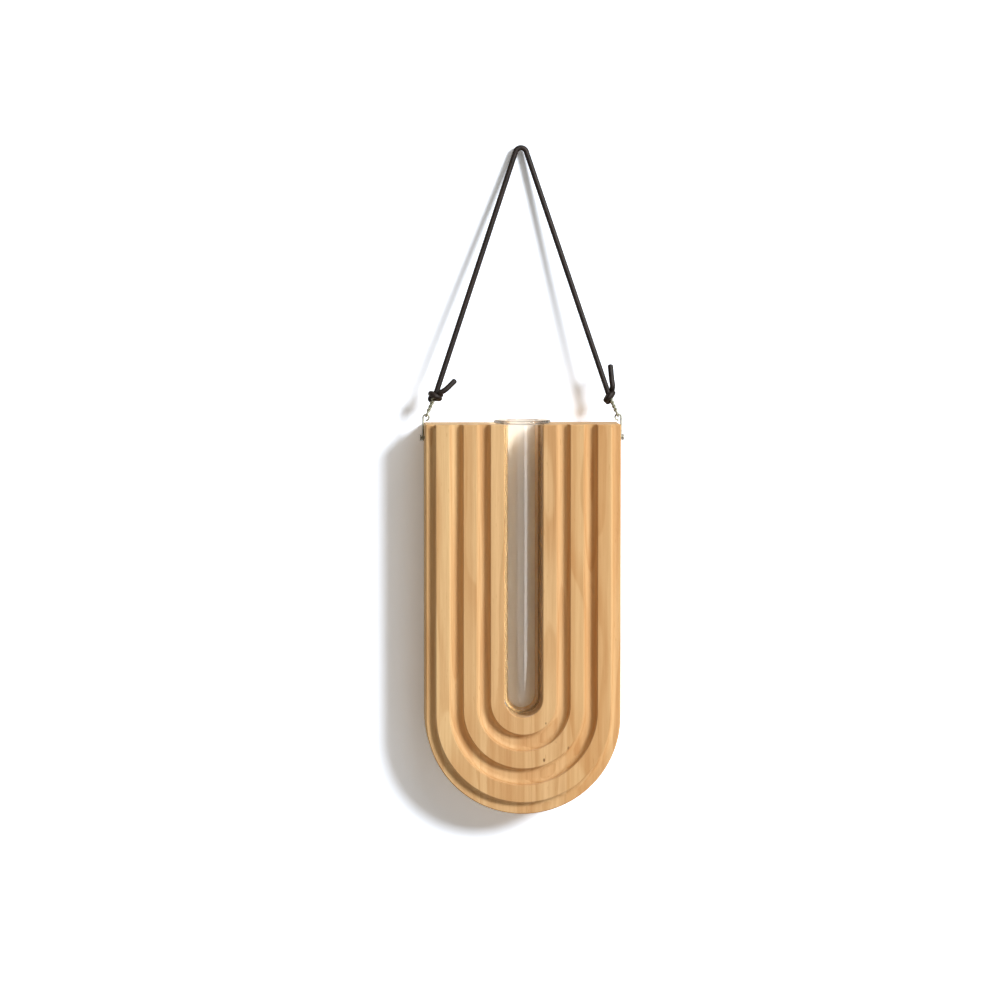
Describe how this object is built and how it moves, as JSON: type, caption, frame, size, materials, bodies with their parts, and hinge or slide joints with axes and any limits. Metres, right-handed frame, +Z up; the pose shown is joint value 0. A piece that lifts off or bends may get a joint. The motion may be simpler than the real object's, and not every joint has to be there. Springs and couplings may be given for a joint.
{
  "type": "hanging wall vase",
  "caption": "U-shaped wood board with raised ribs that hangs on a wall by a cord and holds a glass test tube for cut stems in its open slot.",
  "frame": {"origin": "on the wall plane, on the axis of the nail or hook that the cord hangs over", "axes": "+Z up, +Y into the wall, so the front faces -Y; +X to the right as seen from the front"},
  "size_m": [0.1046, 0.03, 0.3423],
  "materials": {
    "wood": "satin oiled pine",
    "glass": "clear polished",
    "wire": "galvanised",
    "cord": "matt dark brown"
  },
  "bodies": {
    "hanger": {"hanging_cord": "cord", "left_knot": "cord", "right_knot": "cord", "left_link": "wire", "right_link": "wire", "left_ear": "wire", "right_ear": "wire"},
    "vase": {"left_stave": "wood", "centre_stave": "wood", "right_stave": "wood", "left_nail": "wire", "right_nail": "wire"},
    "tube": {"glass_tube": "glass"}
  },
  "joints": [
    {"name": "vase_swing", "type": "hinge", "parent": "hanger", "child": "vase", "pos_m": [0, -0.01375, -0.1452], "axis": [-1, 0, 0], "range_deg": [-20, 20]},
    {"name": "tube_draw", "type": "slide", "parent": "vase", "child": "tube", "axis": [0, -1, 0], "range_m": [0, 0.045]}
  ]
}
